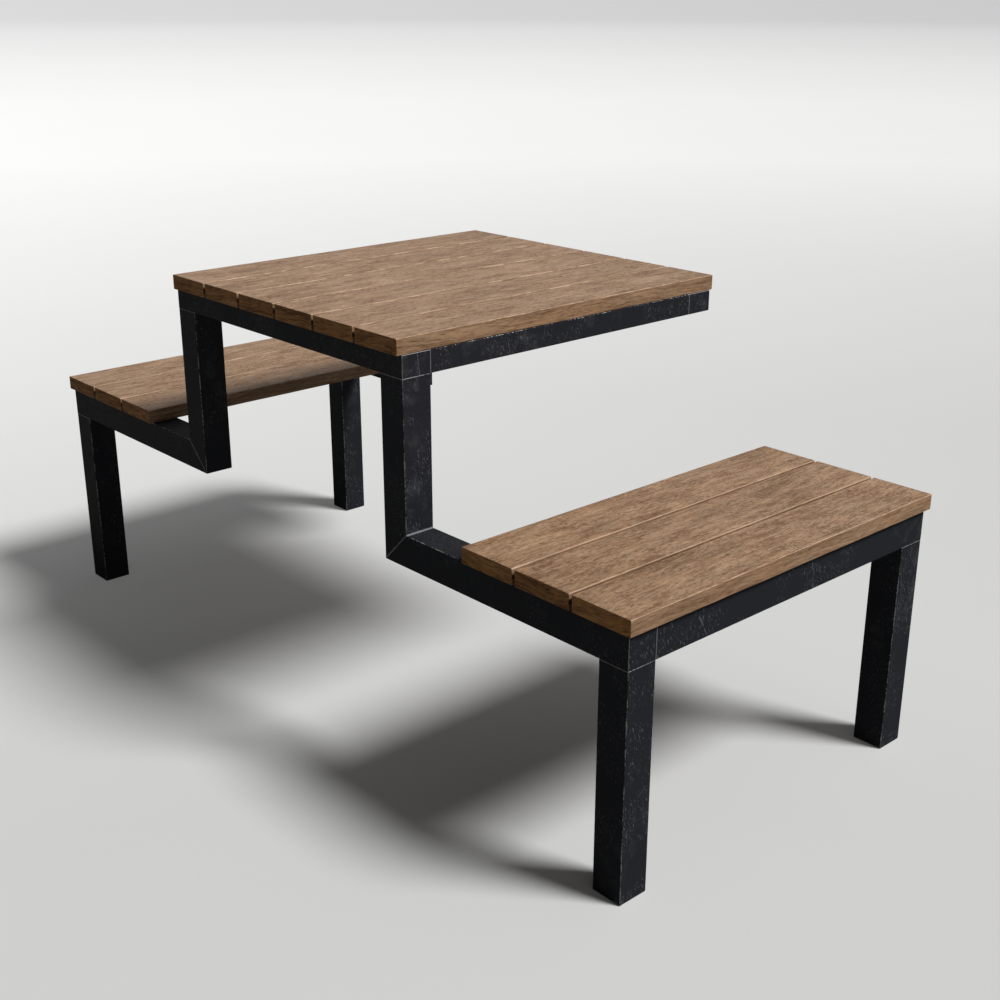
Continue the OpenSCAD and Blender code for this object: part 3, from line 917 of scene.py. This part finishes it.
class PICNIC_OT_stage(bpy.types.Operator):
    """Lays the pale floor, hangs the soft studio light and sets up the camera"""

    bl_idname = "picnic.stage"
    bl_label = "Floor, light and camera"

    def execute(self, context):
        scene, look = context.scene, context.scene.picnic_stage
        lens = bpy.data.cameras.new("camera")
        lens.lens, lens.sensor_width, lens.clip_end = 50.0, 36.0, 500.0
        camera = bpy.data.objects.new("camera", lens)
        camera.location, camera.rotation_euler = CAMERA_PLACE, CAMERA_TURN
        scene.collection.objects.link(camera)
        scene.camera = camera
        scene.view_settings.view_transform = "Standard"

        light = bpy.data.lights.new("key", "SUN")
        light.energy, light.angle = look.key, look.key_size
        key = bpy.data.objects.new("key", light)
        key.rotation_euler = (0, math.pi / 2 - look.key_height, look.key_turn)
        scene.collection.objects.link(key)
        self.hang_fill(scene, look)
        self.lay_floor()
        return {"FINISHED"}

    @staticmethod
    def hang_fill(scene, look):
        """Light from all round: fill, plus side_fill * cos(angle from the key's side) ** 3 above the
        floor, from 50 degrees up, plus sheen from low behind the table, which only mirrors see."""
        scene.world = bpy.data.worlds.new("soft_light")
        shader = Shader(scene.world)
        way = shader.add("ShaderNodeTexCoord")
        out, up = KEY_SIDE
        key_side = (out * math.cos(look.key_turn), out * math.sin(look.key_turn), up)
        glow = shader.vector("DOT_PRODUCT", way, key_side).most(0.0) ** 3.0
        strength = glow * shader.part(way, 2).step(-0.05, 0.30) * look.side_fill + look.fill
        behind = shader.vector("DOT_PRODUCT", way, BEHIND).step(0.45, 0.92)
        mirrored = shader.add("ShaderNodeLightPath", output=3)
        strength = strength + behind * shader.part(way, 2).step(-0.02, 0.06) * mirrored * look.sheen
        light = shader.add("ShaderNodeBackground", {}, {"Color": (1.0, 1.0, 1.0), "Strength": strength})
        shader.add("ShaderNodeOutputWorld", {}, {"Surface": light})

    @staticmethod
    def lay_floor():
        """Two surfaces of revolution: a floor, flat out to 60 m, and round it a backdrop that only the
        camera sees, (60 + 40 sin t, 40 - 40 cos t), which closes into a dome."""
        turn = np.linspace(0, math.pi / 2, 16)
        flat = 60 * np.linspace(0, 1, 40)[1:] ** 2
        profiles = {
            "studio_floor": (flat, 0 * flat),
            "studio_backdrop": (
                np.concatenate([60 + 40 * np.sin(turn), [98.0, 80.0, 40.0, 5.0]]),
                np.concatenate([40 - 40 * np.cos(turn), [60.0, 85.0, 100.0, 104.0]]),
            ),
        }
        angle = 2 * math.pi * np.arange(96) / 96
        for name, (radius, height) in profiles.items():
            radius, height = radius[:, None], height[:, None]
            points = np.stack([radius * np.cos(angle), radius * np.sin(angle), height + 0 * angle], axis=-1)
            number = np.arange(radius.size * 96).reshape(-1, 96)
            cap = number[0][::-1] if name == "studio_floor" else number[-1]
            mesh = bpy.data.meshes.new(name)
            faces = strips(number[:-1], number[1:]).tolist() + [cap.tolist()]
            mesh.from_pydata(points.reshape(-1, 3).tolist(), [], faces)
            mesh.polygons.foreach_set("use_smooth", np.ones(len(mesh.polygons), bool))
            mesh.materials.append(finish(pale_floor))
            mesh.materials[0].cycles.emission_sampling = "NONE"
            piece = bpy.data.objects.new(name, mesh)
            piece.visible_diffuse = piece.visible_glossy = name == "studio_floor"
            piece.visible_shadow = False
            bpy.context.scene.collection.objects.link(piece)


class PICNIC_OT_table_boards(bpy.types.Operator):
    """Saws and eases the boards of the table top"""

    bl_idname = "picnic.table_boards"
    bl_label = "Table boards"

    def execute(self, context):
        # A board's second number sets how much painted sheen greys its top
        for number, bleach in enumerate((1.05, 0.95, 1.0, 0.95, 1.0, 0.9), start=1):
            board(f"table_plank_{number}", number, bleach, gaps=(number > 1, number < 6))
        return {"FINISHED"}


class PICNIC_OT_seat_boards(bpy.types.Operator):
    """Saws and eases the boards of both seats"""

    bl_idname = "picnic.seat_boards"
    bl_label = "Seat boards"

    def execute(self, context):
        # The right seat's tops get less painted sheen than the left seat's
        for first, side, bleaches_and_sheens in ((7, "left", (0.9, 0.85, 0.85)), (10, "right", (0.25, 0.42, 0.32))):
            for number, bleach in enumerate(bleaches_and_sheens):
                # Plank 1 is the one next to the table
                gaps = (number > 0, number < 2) if side == "right" else (number < 2, number > 0)
                board(f"{side}_seat_plank_{number + 1}", first + number, bleach, gaps)
        return {"FINISHED"}


class PICNIC_OT_table_rails(bpy.types.Operator):
    """Welds up the two rails under the ends of the table's boards"""

    bl_idname = "picnic.table_rails"
    bl_label = "Table rails"

    def execute(self, context):
        inner = span("right_table_beam")[0][0]
        lines = screw_lines([f"table_plank_{n}" for n in range(1, 7)], -inner, inner)
        for node in ("front_table_rail", "rear_table_rail"):
            tube(node, 0, holes=lines)
        return {"FINISHED"}


class PICNIC_OT_table_beams(bpy.types.Operator):
    """Welds in the two beams between the table's rails"""

    bl_idname = "picnic.table_beams"
    bl_label = "Table beams"

    def execute(self, context):
        both_sides("table_beam", 1, holes=beam_lines())
        return {"FINISHED"}


class PICNIC_OT_posts(bpy.types.Operator):
    """Stands up the two posts, mitred at the foot"""

    bl_idname = "picnic.posts"
    bl_label = "Posts"

    def execute(self, context):
        both_sides("post", 2, mitre=(1.0, 0.0))
        return {"FINISHED"}


class PICNIC_OT_front_seat_rails(bpy.types.Operator):
    """Runs the front seat rails out from the mitres"""

    bl_idname = "picnic.front_seat_rails"
    bl_label = "Front seat rails"

    def execute(self, context):
        both_sides("front_seat_rail", 0, mitre=(0.0, 1.0), holes=seat_lines())
        return {"FINISHED"}


class PICNIC_OT_rear_seat_rails(bpy.types.Operator):
    """Welds the short rear seat rails to the seat beams"""

    bl_idname = "picnic.rear_seat_rails"
    bl_label = "Rear seat rails"

    def execute(self, context):
        both_sides("rear_seat_rail", 0, holes=seat_lines())
        return {"FINISHED"}


class PICNIC_OT_seat_beams(bpy.types.Operator):
    """Welds in the beams under the outer seat boards"""

    bl_idname = "picnic.seat_beams"
    bl_label = "Seat beams"

    def execute(self, context):
        both_sides("seat_beam", 1, holes=beam_lines())
        return {"FINISHED"}


class PICNIC_OT_legs(bpy.types.Operator):
    """Stands the frame on its four legs"""

    bl_idname = "picnic.legs"
    bl_label = "Legs"

    def execute(self, context):
        both_sides("front_leg", 2)
        both_sides("rear_leg", 2)
        return {"FINISHED"}


class PICNIC_OT_end_plates(bpy.types.Operator):
    """Closes the open ends of the tubes with plates set in flush"""

    bl_idname = "picnic.end_plates"
    bl_label = "End plates"

    def execute(self, context):
        for side, out in zip(SIDES, (-1, 1)):
            for place in ("front_table", "rear_table", "front_seat"):
                plate(f"{side}_{place}_cap", 0, out)
            plate(f"{side}_rear_seat_cap", 0, -out)
            plate(f"{side}_seat_beam_cap", 1, 1)
        return {"FINISHED"}


class PICNIC_OT_feet(bpy.types.Operator):
    """Finishes the moulded foot plugs"""

    bl_idname = "picnic.feet"
    bl_label = "Feet"

    def execute(self, context):
        cover([f"{side}_{place}_foot" for side in SIDES for place in ("front", "rear")], foot_moulding)
        return {"FINISHED"}


class PICNIC_OT_screws(bpy.types.Operator):
    """Finishes the screws that hold the boards"""

    bl_idname = "picnic.screws"
    bl_label = "Screws"

    def execute(self, context):
        cover(["table_screws", *(f"{side}_seat_screws" for side in SIDES)], zinc_plate)
        return {"FINISHED"}


def seat_lines():
    """Stations along X of the screws up through the right seat's rails, short of its beam."""
    boards = [f"right_seat_plank_{n}" for n in (1, 2, 3)]
    return screw_lines(boards, span(boards[0])[0][0], span("right_seat_beam")[0][0])


GROUPS = {
    "picnic_boards": PICNIC_PG_boards,
    "picnic_steel": PICNIC_PG_steel,
    "picnic_fittings": PICNIC_PG_fittings,
    "picnic_stage": PICNIC_PG_stage,
}
OPERATORS = (
    PICNIC_OT_stage, PICNIC_OT_table_boards, PICNIC_OT_seat_boards, PICNIC_OT_table_rails,
    PICNIC_OT_table_beams, PICNIC_OT_posts, PICNIC_OT_front_seat_rails, PICNIC_OT_rear_seat_rails,
    PICNIC_OT_seat_beams, PICNIC_OT_legs, PICNIC_OT_end_plates, PICNIC_OT_feet, PICNIC_OT_screws,
)


class PICNIC_PT_sidebar(bpy.types.Panel):
    """The sizes and colours, and a button for each group of pieces"""

    bl_idname = "PICNIC_PT_sidebar"
    bl_label = "Picnic table"
    bl_space_type = "VIEW_3D"
    bl_region_type = "UI"
    bl_category = "Picnic table"

    def draw(self, context):
        for name, group in GROUPS.items():
            box = self.layout.box()
            box.label(text=group.__doc__)
            for setting in group.__annotations__:
                box.prop(getattr(context.scene, name), setting)
        for operator in OPERATORS:
            self.layout.operator(operator.bl_idname)


def register():
    for made in (*GROUPS.values(), *OPERATORS, PICNIC_PT_sidebar):
        bpy.utils.register_class(made)
    for name, group in GROUPS.items():
        setattr(bpy.types.Scene, name, PointerProperty(type=group))


def unregister():
    for name in GROUPS:
        delattr(bpy.types.Scene, name)
    for made in (PICNIC_PT_sidebar, *reversed(OPERATORS), *GROUPS.values()):
        bpy.utils.unregister_class(made)


def main():
    """Makes the stage and every piece."""
    register()
    for operator in OPERATORS:
        group, name = operator.bl_idname.split(".")
        getattr(getattr(bpy.ops, group), name)()


if __name__ == "__main__":
    main()
